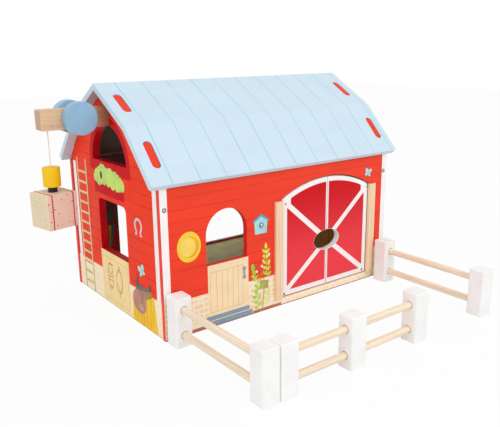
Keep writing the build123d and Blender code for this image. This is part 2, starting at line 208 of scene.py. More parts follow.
def linear(colour):
    """A screen colour as the linear red, green and blue that a shader takes."""
    parts = [c / 255 for c in colour]
    return tuple(p / 12.92 if p <= 0.04045 else ((p + 0.055) / 1.055) ** 2.4 for p in parts) + (1.0,)


def shade(colour, factor):
    """The same colour, darker or lighter."""
    return tuple(min(255, c * factor) for c in colour)


class Nodes:
    """Adds nodes to a tree and joins them."""

    def __init__(self, tree):
        self.tree = tree

    def add(self, kind, **settings):
        node = self.tree.nodes.new(kind)
        for key, value in settings.items():
            setattr(node, key, value)
        return node

    def feed(self, socket, value):
        if isinstance(value, bpy.types.NodeSocket):
            self.tree.links.new(value, socket)
        else:
            socket.default_value = value

    def maths(self, operation, *values):
        node = self.add("ShaderNodeMath", operation=operation)
        for socket, value in zip(node.inputs, values):
            self.feed(socket, value)
        return node.outputs[0]


class Finish(Nodes):
    """A paint or wood being mixed: one Principled shader, and the nodes that vary its colour and height."""

    def __init__(self, name, roughness=0.5, specular=0.22, metallic=0.0):
        self.material = bpy.data.materials.new(name)
        self.material.use_nodes = True
        super().__init__(self.material.node_tree)
        self.shader = self.tree.nodes["Principled BSDF"]
        looks = {"Roughness": roughness, "Specular IOR Level": specular, "Metallic": metallic}
        for socket, value in looks.items():
            self.shader.inputs[socket].default_value = value
        self.place(self.add("ShaderNodeTexCoord").outputs["Object"])

    def place(self, spot):
        """Sets the coordinates that the pattern is laid out in."""
        self.spot = spot
        split = self.add("ShaderNodeSeparateXYZ")
        self.feed(split.inputs[0], spot)
        self.x, self.y, self.z = split.outputs

    def turn(self, centre, degrees):
        """Turns the pattern with a piece that stands askew."""
        node = self.add("ShaderNodeVectorRotate", rotation_type="Z_AXIS")
        self.feed(node.inputs["Vector"], self.spot)
        node.inputs["Center"].default_value = centre
        node.inputs["Angle"].default_value = -math.radians(degrees)
        self.place(node.outputs[0])

    def times(self, first, *others):
        for other in others:
            first = self.maths("MULTIPLY", first, other)
        return first

    def step(self, value, low, high, start=0.0, end=1.0):
        """Rises softly from start to end while value goes from low to high."""
        node = self.add("ShaderNodeMapRange", interpolation_type="SMOOTHSTEP")
        for socket, item in zip(node.inputs, (value, low, high, start, end)):
            self.feed(socket, item)
        return node.outputs[0]

    def mix(self, share, first, second):
        node = self.add("ShaderNodeMix", data_type="RGBA")
        self.feed(node.inputs[0], share)
        for socket, colour in ((node.inputs[6], first), (node.inputs[7], second)):
            self.feed(socket, colour if isinstance(colour, bpy.types.NodeSocket) else linear(colour))
        return node.outputs[2]

    def vary(self, share, colour, low, high):
        """One colour, from low to high times its brightness as share rises."""
        return self.mix(share, shade(colour, low), shade(colour, high))

    def past(self, value, place, soft=0.5):
        """0 before a place in millimetres and 1 past it; a soft edge below 0 turns that round."""
        return self.step(value, (place - soft) * MM, (place + soft) * MM)

    def size(self, value):
        """A distance without its sign."""
        return self.maths("ABSOLUTE", value)

    def cloud(self, size, detail=2.0):
        """Noise with blotches of one size in metres, or of (x, y, z) sizes."""
        sizes = (size,) * 3 if isinstance(size, float) else size
        place = self.add("ShaderNodeMapping")
        self.feed(place.inputs["Vector"], self.spot)
        place.inputs["Scale"].default_value = [1 / s for s in sizes]
        noise = self.add("ShaderNodeTexNoise")
        self.feed(noise.inputs["Vector"], place.outputs[0])
        noise.inputs["Scale"].default_value = 1.0
        noise.inputs["Detail"].default_value = detail
        return noise.outputs[0]

    def lines(self, along, first, gap):
        """1 on printed lines that cross an axis every gap millimetres, and 0 between them."""
        turns = self.maths("DIVIDE", self.maths("SUBTRACT", along, first * MM), gap * MM)
        off = self.times(self.maths("PINGPONG", turns, 0.5), gap * MM)
        return self.past(off, PRINTED_LINE / 2, -0.15 * PRINTED_LINE)

    def colour(self, value):
        self.feed(self.shader.inputs["Base Color"], value)

    def gloss(self, value):
        self.feed(self.shader.inputs["Roughness"], value)

    def height(self, value, depth):
        bump = self.add("ShaderNodeBump")
        bump.inputs["Strength"].default_value = 0.6
        bump.inputs["Distance"].default_value = depth
        self.feed(bump.inputs["Height"], value)
        self.feed(self.shader.inputs["Normal"], bump.outputs[0])


def paint_grain(finish, depth=PAINT_GRAIN, roughness=PAINT_GLOSS):
    """The faint orange peel of sprayed paint, with gloss that drifts a little."""
    finish.height(finish.cloud(PEEL, 3.0), depth)
    finish.gloss(finish.step(finish.cloud(0.03), 0.3, 0.7, roughness - 0.04, roughness + 0.06))


def paint(name, colour, drift=0.035, roughness=PAINT_GLOSS, specular=0.22, depth=PAINT_GRAIN):
    """Plain paint or ink with a slight drift of tone."""
    finish = Finish(name, roughness, specular)
    patches = finish.step(finish.cloud(0.022, 4.0), 0.3, 0.7)
    finish.colour(finish.vary(patches, colour, 1 - drift, 1 + drift))
    paint_grain(finish, depth, roughness)
    return finish.material


def beech(name, along, colour=BEECH, shade_span=None):
    """Pale beech: streaks and flecks along one axis, rings on cut ends; the last argument gives where along x
    painted shade darkens it.
    """
    finish = Finish(name)
    streak, fleck = ([long if axis == along else thin for axis in range(3)]
                     for thin, long in (BEECH_STREAK, BEECH_FLECK))
    grain = finish.cloud(streak, 5.0)
    marks = finish.step(finish.cloud(fleck, 1.0), 0.64, 0.74, 0.0, 0.4)
    body = finish.vary(finish.step(grain, 0.35, 0.68), colour, 1.02, 0.94)
    body = finish.mix(marks, body, shade(colour, 0.80))
    facing = finish.add("ShaderNodeSeparateXYZ")
    finish.feed(facing.inputs[0], finish.add("ShaderNodeNewGeometry").outputs["True Normal"])
    cut_end = finish.step(finish.size(facing.outputs[along]), 0.80, 0.95)
    rings = finish.add("ShaderNodeTexWave", wave_type="RINGS", rings_direction="XYZ"[along])
    shifted = finish.add("ShaderNodeMapping")
    finish.feed(shifted.inputs["Vector"], finish.spot)
    shifted.inputs["Location"].default_value = RING_HEART
    finish.feed(rings.inputs["Vector"], shifted.outputs[0])
    rings.inputs["Scale"].default_value = 150.0
    rings.inputs["Distortion"].default_value = 1.5
    end_grain = finish.vary(rings.outputs["Fac"], colour, 0.84, 0.90)
    body = finish.mix(cut_end, body, end_grain)
    if shade_span:
        # painted shade: darker, redder beech towards the gable, where the roof shades the beam
        body = finish.mix(finish.step(finish.x, *shade_span, 0.0, 0.8), body, BEECH_PAINTED_SHADE)
    finish.colour(body)
    finish.gloss(finish.step(grain, 0.3, 0.7, 0.44, 0.56))
    finish.height(grain, 0.0001)
    return finish.material


def clapboards(name, depth_axis, side, cut="threshold", bare_inside=False):
    """Red board printed with clapboard lines outside; cut tells how its edges are finished."""
    gable = depth_axis == 0
    face, inner = (GABLE_FACE, GABLE_INNER) if gable else (WALL_FACE, WALL_INNER)
    red, wear, specular = (GABLE_RED, (0.35, 0.95), 0.07) if gable else (BARN_RED, (0.12, 0.56), 0.2)
    finish = Finish(name, BOARD_GLOSS, specular)
    out = finish.times(finish.x if gable else finish.y, float(side))
    drift = finish.step(finish.cloud(BOARD_PATCH, 3.0), 0.3, 0.7)
    lines = finish.lines(finish.z, BOARD_LINE, BOARD_STEP)
    worn = finish.step(finish.cloud(LINE_WEAR), 0.38, 0.62, *wear)
    face_red = finish.mix(finish.times(lines, worn), finish.vary(drift, red, 0.98, 1.02), BARN_LINE)
    # painted shadow: a dark brown line along the walls' foot, where they meet the ground
    face_red = finish.mix(finish.past(finish.z, SHADOW_LINE_HEIGHT, -0.4), face_red, FOOT_PAINTED_SHADOW)
    edge = finish.vary(drift, EDGE_RED, 0.95, 1.03)
    if cut == "openings":
        beside = finish.past(finish.size(finish.y), TAB_REACH)
        high = finish.past(finish.z, LOFT_TOP)
        in_tab = finish.maths("MAXIMUM", beside, high)
        edge = finish.mix(in_tab, finish.vary(drift, CRIMSON, 0.95, 1.04), TAB_RED)
    if cut == "threshold":
        # painted shade: the back opening's cut edges are dark red even where light falls on them
        edge = finish.mix(finish.past(finish.size(finish.x), BACK_OPENING_HALF, -0.5), edge, THRESHOLD_PAINTED_SHADE)
    if cut == "doorway":
        off = finish.size(finish.maths("SUBTRACT", finish.x, DOOR_MIDDLE * MM))
        near = finish.past(off, DOOR_HALF + 2.5, -0.5)
        low = finish.past(finish.z, DOORWAY_SHOULDER, -1.0)
        edge = finish.mix(finish.times(near, low), edge, finish.vary(drift, PLYWOOD, 1, 0.9))
    if bare_inside:
        grain = finish.step(finish.cloud(PLAIN_GRAIN, 4.0), 0.38, 0.62)
        inside = finish.vary(grain, BARE_WOOD, 1, 0.78)
    else:
        # painted shade: the red insides darken towards the top, under the roof
        inside = finish.mix(finish.past(finish.z, INSIDE_SHADE_HEIGHT, 17.5), INSIDE_RED, INSIDE_PAINTED_SHADE)
    outside = finish.mix(finish.past(out, face - 0.15, 0.05), edge, face_red)
    finish.colour(finish.mix(finish.past(out, inner + 0.25, -0.05), outside, inside))
    paint_grain(finish, FINE_GRAIN, BOARD_GLOSS)
    return finish.material


def roof_boards(name, low, high, side):
    """Pale blue roof board with fine teal lines down its outer face only, and painted shade on its underside
    between the gables.
    """
    finish = Finish(name)
    run = Vector((high[0] - low[0], high[1] - low[1])).normalized()
    normal = Vector((-run.y, run.x))
    if normal.y < 0:
        normal = -normal
    across = finish.times(finish.y, side * normal.x)
    depth = finish.maths("ADD", across, finish.times(finish.z, normal.y))
    face = Vector(low).dot(normal)
    drift = finish.step(finish.cloud((0.06, 0.03, 0.03), 3.0), 0.3, 0.7)
    lines = finish.lines(finish.x, ROOF_FIRST_LINE, ROOF_LINE_STEP)
    wear = finish.step(finish.cloud((0.004, 0.05, 0.05)), 0.35, 0.6, 0.55, 1.0)
    outer = finish.past(depth, face - 0.25, 0.05)
    marks = finish.times(lines, wear, outer)
    board = finish.mix(marks, finish.vary(drift, ROOF_BLUE, 0.99, 1.005), ROOF_LINE)
    # painted shade: the underside turns grey-brown where it lies over the inside
    under = finish.past(depth, face - ROOF_THICKNESS + 0.3, -0.3)
    indoors = finish.past(finish.size(finish.x), GABLE_INNER, -0.5)
    finish.colour(finish.mix(finish.times(under, indoors), board, ROOF_UNDERSIDE_PAINTED_SHADE))
    paint_grain(finish)
    return finish.material


def brickwork(name, across_axis, first, second):
    """Printed bricks of two creams in running bond, loosely coloured inside pale joints."""
    finish = Finish(name)
    flat = finish.add("ShaderNodeCombineXYZ")
    wobble = finish.times(finish.maths("SUBTRACT", finish.cloud(0.006), 0.5), BRICK_WOBBLE)
    finish.feed(flat.inputs[0], finish.maths("ADD", finish.x if across_axis == 0 else finish.y, wobble))
    finish.feed(flat.inputs[1], finish.maths("ADD", finish.z, wobble))
    bricks = finish.add("ShaderNodeTexBrick")
    finish.feed(bricks.inputs["Vector"], flat.outputs[0])
    width, height, joint = BRICK_SIZE
    looks = {"Color1": linear(first), "Color2": linear(second), "Mortar": linear(MORTAR), "Scale": 1.0,
             "Mortar Size": joint, "Mortar Smooth": 0.3, "Brick Width": width, "Row Height": height}
    for socket, value in looks.items():
        bricks.inputs[socket].default_value = value
    gaps = finish.step(finish.cloud((0.009, 0.009, 0.005)), 0.55, 0.68, 0.0, 0.8)
    finish.colour(finish.mix(gaps, bricks.outputs["Color"], shade(MORTAR, 0.99)))
    paint_grain(finish, FINE_GRAIN)
    return finish.material


def leaf_green(name, low, high):
    """Leaf green that yellows towards the top, with darker dabs."""
    finish = Finish(name)
    body = finish.mix(finish.past(finish.z, 60, 30), low, high)
    dabs = finish.step(finish.cloud(0.004), 0.53, 0.60, 0.0, 0.6)
    finish.colour(finish.mix(dabs, body, shade(low, 0.84)))
    paint_grain(finish)
    return finish.material


def metal(name, colour):
    """Brushed steel with fine streaks."""
    finish = Finish(name, STEEL_GLOSS, 0.5, 1.0)
    brushed = finish.cloud((0.0004, 0.003, 0.0004), 3.0)
    finish.colour(finish.vary(brushed, colour, 0.9, 1.06))
    finish.gloss(finish.step(brushed, 0.3, 0.7, STEEL_GLOSS - 0.06, STEEL_GLOSS + 0.1))
    finish.height(brushed, 0.00002)
    return finish.material


def cotton(name):
    """Off-white cotton string with fine fibres."""
    finish = Finish(name, 0.9, 0.15)
    fibres = finish.cloud((0.0003, 0.0003, 0.0012), 3.0)
    finish.colour(finish.vary(fibres, COTTON, 0.86, 1.03))
    finish.height(fibres, 0.00015)
    return finish.material


def straw_block(name):
    """Plain wood printed as a small bale: pinkish straw, paler at its end, with dark red specks."""
    finish = Finish(name)
    finish.turn(Vector((STRING_X, 0, 0)) * MM, BALE_TURN)
    grain = finish.step(finish.cloud((0.03, 0.0016, 0.0016), 4.0), 0.35, 0.65)
    body = finish.mix(grain, *BALE_SIDES)
    end = finish.past(finish.x, STRING_X - BALE_WIDTH / 2 + 0.5, -0.1)
    fine = finish.step(finish.cloud(0.0009, 3.0), 0.60, 0.68)
    mottled = finish.mix(finish.cloud(0.0016, 4.0), *BALE_END)
    mottled = finish.mix(fine, mottled, BALE_END_DARK)
    body = finish.mix(end, body, mottled)
    body = finish.mix(finish.past(finish.z, bale_high.z - 0.4, 0.1), body, BALE_TOP)
    specks = finish.add("ShaderNodeTexVoronoi", feature="F1")
    finish.feed(specks.inputs["Vector"], finish.spot)
    specks.inputs["Scale"].default_value = 180.0
    dots = finish.step(specks.outputs["Distance"], 0.20, 0.12)
    few = finish.step(finish.cloud(0.012), 0.38, 0.44)
    sides_only = finish.maths("SUBTRACT", 1.0, finish.times(end, 0.7))
    finish.colour(finish.mix(finish.times(dots, few, sides_only), body, BALE_SPECK))
    finish.height(grain, 0.00005)
    return finish.material


def door_red():
    """Deep red ink whose lighter, pinker foot is a painted reflection of the pale floor."""
    finish = Finish("door_red_painted_sheen", BOARD_GLOSS, 0.12)
    finish.colour(finish.mix(finish.past(finish.z, 102.5, -57.5), *DOOR_REDS_PAINTED_SHEEN))
    paint_grain(finish, FINE_GRAIN, BOARD_GLOSS)
    return finish.material


# ---- building ----
def add_object(name, data):
    obj = bpy.data.objects.new(name, data)
    bpy.context.scene.collection.objects.link(obj)
    return obj


def mesh_object(name, bm):
    mesh = bpy.data.meshes.new(name)
    bm.to_mesh(mesh)
    bm.free()
    return add_object(name, mesh)


def piece(name, bm, finish, body, replaces=(), smooth=False):
    """Closes a bmesh into a named object that rides on a body."""
    bmesh.ops.recalc_face_normals(bm, faces=bm.faces)
    for face in bm.faces:
        face.smooth = smooth
    obj = mesh_object(name, bm)
    obj.data.materials.append(finish)
    if body:
        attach(obj, body)
    if replaces:
        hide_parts(*replaces)
    return obj


def move(bm, place):
    bmesh.ops.transform(bm, verts=bm.verts, matrix=place)


def thicken(bm, depth):
    """Extrudes all the faces along z."""
    grown = bmesh.ops.extrude_face_region(bm, geom=bm.faces[:])["geom"]
    far = [g for g in grown if isinstance(g, bmesh.types.BMVert)]
    bmesh.ops.translate(bm, verts=far, vec=(0, 0, depth))


def turned(degrees, axis="Z"):
    return Matrix.Rotation(math.radians(degrees), 4, axis)


def axes(x_axis, y_axis, z_axis, origin):
    """The matrix that turns x, y and z to three directions and shifts them to an origin."""
    place = Matrix((x_axis, y_axis, z_axis)).transposed().to_4x4()
    place.translation = origin
    return place


def wall_place(across, out, face):
    """The matrix from (across, up, lift) in millimetres to a wall's face in metres."""
    across, up, out = Vector(across) * MM, Vector((0, 0, MM)), Vector(out)
    return axes(across, up, out * MM, [o * face * MM for o in out])


FRONT = wall_place((1, 0, 0), (0, -1, 0), WALL_FACE)
BACK = wall_place((1, 0, 0), (0, 1, 0), WALL_FACE)
LEFT = wall_place((0, 1, 0), (-1, 0, 0), GABLE_FACE)
RIGHT = wall_place((0, 1, 0), (1, 0, 0), GABLE_FACE)
BACK_INSIDE = wall_place((1, 0, 0), (0, -1, 0), -WALL_INNER)
FRONT_INSIDE = wall_place((1, 0, 0), (0, 1, 0), -WALL_INNER)
DOOR_BACK = wall_place((1, 0, 0), (0, 1, 0), DOOR_THICKNESS - WALL_FACE)


class Print:
    """Ink on a board: flat shapes drawn across and up in millimetres, then given their thickness."""

    def __init__(self):
        self.bm = bmesh.new()
        self.coat = 0.0

    def next_coat(self):
        """Each shape lies a hair above the one before it, so that none shares its plane."""
        self.coat += COAT_STEP
        return self.coat

    def outline(self, *points, soften=0.0, corners=None):
        """A closed shape; soften rounds all its corners, or only those that corners numbers."""
        coat = self.next_coat()
        verts = [self.bm.verts.new((a, u, coat)) for a, u in points]
        self.bm.faces.new(verts)
        if soften:
            chosen = verts if corners is None else [verts[k] for k in corners]
            bmesh.ops.bevel(self.bm, geom=chosen, offset=soften, segments=4, profile=0.5,
                            affect="VERTICES", material=-1, clamp_overlap=True)
        return self

    def scallops(self, *points, bulge=1.2, steps=6):
        """A closed shape, points given clockwise, whose sides swell outwards as a bush's do."""
        rim = []
        for start, end in zip(points, points[1:] + points[:1]):
            start, end = Vector(start), Vector(end)
            out = (end - start).orthogonal() * bulge
            for k in range(steps):
                share = k / steps
                rim.append(start.lerp(end, share) + out * share * (1 - share))
        return self.outline(*rim)

    def patch(self, a0, u0, a1, u1):
        return self.outline((a0, u0), (a1, u0), (a1, u1), (a0, u1))

    def bar(self, start, end, width, end_width=None):
        """A straight stroke from one point to another."""
        start, end = Vector(start), Vector(end)
        side = (end - start).orthogonal().normalized() / 2
        near, far = side * width, side * (width if end_width is None else end_width)
        return self.outline(start + near, start - near, end - far, end + far)

    def bars(self, width, *strokes, end_width=None):
        for start, end in strokes:
            self.bar(start, end, width, end_width)
        return self

    def disc(self, a, u, wide, high, turn=0.0, point=0.0, sides=20):
        """An ellipse; point draws its far end in, as a leaf's tip."""
        ring = bmesh.ops.create_circle(self.bm, cap_ends=True, radius=1.0, segments=sides)["verts"]
        for v in ring:
            narrow = 1 - point * max(0.0, v.co.y) ** 2
            v.co.x *= wide * narrow
            v.co.y *= high
        bmesh.ops.rotate(self.bm, verts=ring, matrix=turned(turn))
        bmesh.ops.translate(self.bm, verts=ring, vec=(a, u, self.next_coat()))
        return self

    def arc(self, a, u, radius, width, start, sweep, squeeze=1.0, steps=28):
        """A band of one width round a centre, angles in degrees from across; squeeze narrows it across."""
        turn = math.radians(start)
        ends = [self.bm.verts.new((r * math.cos(turn), r * math.sin(turn), 0))
                for r in (radius - width / 2, radius + width / 2)]
        edge = self.bm.edges.new(ends)
        full = abs(sweep) >= 360
        known = set(self.bm.verts) - set(ends)
        bmesh.ops.spin(self.bm, geom=ends + [edge], cent=(0, 0, 0), axis=(0, 0, 1), dvec=(0, 0, 0),
                       angle=math.radians(sweep), steps=steps, use_merge=full, use_duplicate=False)
        fresh = [v for v in self.bm.verts if v not in known]
        bmesh.ops.scale(self.bm, verts=fresh, vec=(squeeze, 1, 1))
        bmesh.ops.translate(self.bm, verts=fresh, vec=(a, u, self.next_coat()))
        return self

    def lay(self, name, place, ink, lift=0.12, body="barn", slot="barn_red"):
        """Puts the shapes on their board, standing lift proud of it and sunk in a little."""
        thicken(self.bm, lift + SUNK)
        bmesh.ops.translate(self.bm, verts=self.bm.verts, vec=(0, 0, -SUNK))
        move(self.bm, place)
        return piece(name, self.bm, INK[ink], body)


def round_block(radius, low, high, rounding, sides=64):
    """A turned disc on the z axis with rounded rims, in millimetres."""
    bm = bmesh.new()
    bmesh.ops.create_cone(bm, cap_ends=True, segments=sides, radius1=radius, radius2=radius, depth=high - low)
    bmesh.ops.translate(bm, verts=bm.verts, vec=(0, 0, (low + high) / 2))
    rims = [e for e in bm.edges if abs(e.verts[0].co.z - e.verts[1].co.z) < 1e-6]
    bmesh.ops.bevel(bm, geom=rims, offset=rounding, segments=5, profile=0.5, affect="EDGES",
                    material=-1, clamp_overlap=True)
    caps = [f for f in bm.faces if len(f.verts) == sides]
    bmesh.ops.inset_individual(bm, faces=caps, thickness=0.4)
    return bm


def cut_with(obj, bm):
    """Cuts a closed bmesh out of an object for good."""
    bmesh.ops.recalc_face_normals(bm, faces=bm.faces)
    tool = mesh_object("cutter", bm)
    cut = obj.modifiers.new("cut", "BOOLEAN")
    cut.operation = "DIFFERENCE"
    cut.solver = "EXACT"
    cut.object = tool
    bpy.context.view_layer.update()
    done = bpy.data.meshes.new_from_object(obj.evaluated_get(bpy.context.evaluated_depsgraph_get()))
    obj.modifiers.clear()
    obj.data = done
    bpy.data.objects.remove(tool)


def dress(finish, *names):
    """Puts a finish on CAD nodes."""
    for name in names:
        for slot in nodes[name].material_slots:
            slot.material = finish


# ---- camera ----
def place_camera():
    """A moderately long lens off the hoist's corner, a little higher than the ridge and tipped down."""
    yaw, pitch, roll = CAMERA_TURN
    ahead = Vector((math.sin(yaw) * math.cos(pitch), math.cos(yaw) * math.cos(pitch), -math.sin(pitch)))
    level = Vector((math.cos(yaw), -math.sin(yaw), 0))
    upright = level.cross(ahead)
    right = level * math.cos(roll) + upright * math.sin(roll)
    up = upright * math.cos(roll) - level * math.sin(roll)
    data = bpy.data.cameras.new("camera")
    data.lens = LENS
    data.sensor_width = 36.0
    data.clip_start = 0.01
    camera = add_object("camera", data)
    camera.matrix_world = axes(right, up, -ahead, Vector(CAMERA_PLACE) * MM)
    bpy.context.scene.camera = camera


place_camera()


# ---- hoist string ----
def curve_mesh(curve):
    holder = bpy.data.objects.new(curve.name, curve)
    mesh = bpy.data.meshes.new_from_object(holder)
    bpy.data.objects.remove(holder)
    return mesh


def hoist_cord():
    """Three cotton strands laid round the taut fall from the beam to the hook."""
    route = bpy.data.curves.new("string_route", "CURVE")
    route.dimensions = "3D"
    route.resolution_u = 40
    spline = route.splines.new("NURBS")
    heights = (string_high.z, *STRING_HEIGHTS, string_low.z)
    spline.points.add(len(heights) - 1)
    for point, height in zip(spline.points, heights):
        point.co = (STRING_X * MM, 0, height * MM, 1)
    spline.order_u = 3
    spline.use_endpoint_u = True
    line = [v.co.copy() for v in curve_mesh(route).vertices]
    strands = bpy.data.curves.new("string_strands", "CURVE")
    strands.dimensions = "3D"
    strands.bevel_depth = STRAND_RADIUS * MM
    strands.bevel_resolution = 1
    strands.use_fill_caps = True
    for strand in range(3):
        twist = strands.splines.new("POLY")
        twist.points.add(len(line) - 1)
        for point, spot in zip(twist.points, line):
            turn = (line[0].z - spot.z) / (STRAND_LAY * MM) * math.tau + strand * math.tau / 3
            aside = Vector((math.cos(turn), math.sin(turn), 0)) * STRAND_REACH * MM
            point.co = (*(spot + aside), 1)
    bm = bmesh.new()
    bm.from_mesh(curve_mesh(strands))
    bmesh.ops.remove_doubles(bm, verts=bm.verts, dist=MERGE)
    string = piece("hoist_cord", bm, cotton("cotton_laid"), None, ("hoist_string",), True)
    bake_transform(string)


hoist_cord()

# ---- finishes on the CAD nodes ----
dress(clapboards("front_clapboards", 1, -1, "doorway"), "front_wall")
dress(clapboards("back_clapboards", 1, 1), "back_wall")
dress(clapboards("left_clapboards", 0, -1, "openings"), "gable_left")
dress(clapboards("right_clapboards", 0, 1, "openings", bare_inside=True), "gable_right")
for side, word in ((-1, "front"), (1, "back")):
    dress(roof_boards("roof_blue_%s_upper" % word, ROOF_KNEE, ROOF_RIDGE, side), "roof_%s_upper" % word)
    dress(roof_boards("roof_blue_%s_lower" % word, ROOF_EAVE, ROOF_KNEE, side), "roof_%s_lower" % word)
dress(paint("floor_khaki", KHAKI, 0.05, 0.55), "floor_panel")
BEECH_X = beech("beech_along_x", 0)
BEECH_Y = beech("beech_along_y", 1)
dress(beech("beech_upright", 2, (250, 218, 180)), "door_post_left", "door_post_right")
dress(beech("beam_beech", 0, (226, 190, 154), BEAM_PAINTED_SHADE), "crane_beam")
for level in ("lower", "upper"):
    dress(BEECH_X, "fence_front_rail_" + level)
    dress(BEECH_Y, "fence_left_rail_" + level, "fence_right_rail_" + level)
dress(beech("axle_beech", 1, (224, 190, 150)), "winch_axle", "winch_spool", "guide_pin")
dress(paint("post_white", POST_WHITE, 0.012, 0.5, depth=0.00006),
      *[name for name in nodes if name.startswith("fence") and "post" in name])
dress(paint("door_white", WHITE, 0.01, 0.45), "door_left", "door_right")
STEEL = metal("steel", (150, 152, 156))
dress(STEEL, "hinge_pins_left", "hinge_pins_right", "bale_disc")
dress(cotton("cotton_wound"), "string_run", "string_winding")
dress(straw_block("bale_straw"), "hay_bale")
dress(paint("magnet_black", MAGNET_BLACK, 0.1, 0.45), "hook_magnet")


# ---- turned pieces of the hoist, and the screws ----
def turned_pieces():
    """The winch's two wheels and the hook, with their rims eased as a lathe leaves them."""
    blue = paint("wheel_blue", WHEEL_BLUE, 0.025, 0.36, 0.3)
    radius = (wheel_high.x - wheel_low.x) / 2
    centre = Vector(((wheel_high.x + wheel_low.x) / 2, 0, (wheel_high.z + wheel_low.z) / 2)) * MM
    for side, word in ((-1, "front"), (1, "back")):
        bm = round_block(radius, wheel_low.y, wheel_high.y, WHEEL_EASING)
        move(bm, Matrix.Translation(centre) @ turned(-90 * side, "X") @ Matrix.Scale(MM, 4))
        piece("turned_wheel_" + word, bm, blue, "winch", ("winch_wheel_" + word,), True)
    bm = round_block((hook_high.x - hook_low.x) / 2, hook_low.z, hook_high.z, HOOK_EASING)
    move(bm, Matrix.Translation((STRING_X * MM, 0, 0)) @ Matrix.Scale(MM, 4))
    yellow = paint("hook_yellow", HOOK_YELLOW, 0.03, 0.45)
    piece("turned_hook", bm, yellow, "hook", ("hook_body",), True)


def screw_heads(name, node, place):
    """Four cross-head screws, a hair proud of the strips they hold."""
    head = piece("screw_head", round_block(SCREW_RADIUS, -1.6, 0.35, 0.5, 32), SCREW_STEEL, "barn")
    for turn in (25, 115):
        slit = bmesh.new()
        bmesh.ops.create_cube(slit, size=1.0)
        bmesh.ops.scale(slit, verts=slit.verts, vec=(3.8, 0.9, 2.0))
        move(slit, turned(turn))
        cut_with(head, slit)
    bm = bmesh.new()
    for a in (-SCREW_X, SCREW_X):
        for u in SCREW_HEIGHTS:
            known = len(bm.verts)
            bm.from_mesh(head.data)
            bm.verts.ensure_lookup_table()
            bmesh.ops.translate(bm, verts=bm.verts[known:], vec=(a, u, 0))
    move(bm, place)
    bpy.data.objects.remove(head)
    piece(name, bm, SCREW_STEEL, "barn", (node,))


SCREW_STEEL = metal("screw_steel", (122, 124, 130))
turned_pieces()
screw_heads("screw_heads_front", "wall_screws_front", FRONT)
screw_heads("screw_heads_back", "wall_screws_back", BACK)

# ---- inks of the prints: colour, drift of tone, roughness, specular ----
INK = {name: paint("ink_" + name, *look) for name, look in {
    "white": (WHITE, 0.01, 0.42),
    "cream": ((254, 227, 184), 0.015),
    "corn_line": ((240, 212, 146), 0.03, 0.5),
    "corn": ((253, 228, 167), 0.015, 0.46, 0.08),
    "line": ((218, 184, 134), 0.04, 0.5),
    "line_brown": ((196, 140, 96), 0.04, 0.5),
    "crimson": ((212, 16, 30), 0.03, 0.42, 0.04),
    "step_blue": (STEP_BLUE, 0.03),
    "iron": ((212, 214, 230), 0.03),
    "handle": ((150, 166, 182), 0.03),
    "earth": ((196, 122, 84), 0.07),
    "straw": ((255, 208, 58), 0.03, 0.46, 0.06),
    "hat": ((250, 208, 74), 0.03, 0.46, 0.06),
    "straw_light": ((253, 215, 102), 0.03),
    "amber": ((236, 178, 36), 0.04),
    "stalk": ((208, 146, 26), 0.04),
    "leaf_pale": ((222, 232, 150), 0.03),
    "leaf_fresh": ((140, 208, 66), 0.05),
    "bush": ((204, 238, 116), 0.045),
    "bush_dark": ((72, 16, 12), 0.05),
    "sky": ((164, 222, 228), 0.04),
    "wing": ((172, 229, 231), 0.03),
    "teal": ((66, 172, 196), 0.04),
    "navy": ((58, 100, 140), 0.05),
    "brown": ((192, 136, 116), 0.05),
    "label": ((202, 154, 116), 0.04),
    "pale": ((214, 192, 174), 0.04),
    "bark": ((128, 84, 66), 0.05),
    "hide": ((126, 108, 92), 0.05),
    "horn": ((92, 88, 84), 0.05),
    "olive": ((166, 140, 82), 0.05),
    "tan": (TAN, 0.03),
    "shade": ((150, 104, 66), 0.05),
    "orange": ((246, 138, 66), 0.04),
    "ribbon_rosette": ((96, 124, 132), 0.05),
    "ribbon_green": ((206, 226, 96), 0.03),
    "ribbon_blue": ((70, 160, 214), 0.03),
    "rust": ((206, 120, 40), 0.05),
    "window": (EDGE_RED, 0.03),
    # painted shade in the rails' holes
    "hole_shade_ring": ((184, 152, 126), 0.1, 0.8),
    "nail_pale": ((196, 178, 174), 0.1, 0.45),
    "nail_brown": ((124, 84, 58), 0.1, 0.45),
}.items()}
INK["leaf"] = leaf_green("ink_leaf", (186, 218, 88), (232, 236, 104))
INK["bricks"] = brickwork("bricks_along", 0, *BRICKS)
# painted light: paler bricks under the doors, against the shade the leaves cast there
INK["sill_bricks_painted_light"] = brickwork("bricks_under_doors_painted_light", 0, *SILL_BRICKS_PAINTED_LIGHT)
# painted reflection: the gables' bricks are paler than the front's
INK["gable_bricks_painted_sheen"] = brickwork("bricks_across", 1, *GABLE_BRICKS_PAINTED_SHEEN)
INK["door"] = door_red()


# ---- prints shared by the walls ----
def bands(name, place, ink, foot, top, *spans, lift=0.12):
    """Bands of one ink between two heights, each from one place across to another."""
    band = Print()
    for a0, a1 in spans:
        band.patch(a0, foot, a1, top)
    band.lay(name, place, ink, lift)


def half_door(name, place, ink, a0, a1, foot, top, frame_lines, planks):
    """A boarded half-door: the door, then its frame and the lines between its planks."""
    Print().patch(a0, foot, a1, top).lay(name, place, ink, 0.2)
    left, right, low, high = frame_lines
    lines = Print()
    for a in (left, right, *planks):
        lines.patch(a - FINE_LINE, low, a + FINE_LINE, high)
    for u in (low, high):
        lines.patch(left - FINE_LINE, u - FINE_LINE, right + FINE_LINE, u + FINE_LINE)
    lines.lay(name + "_lines", place, "line", 0.26)


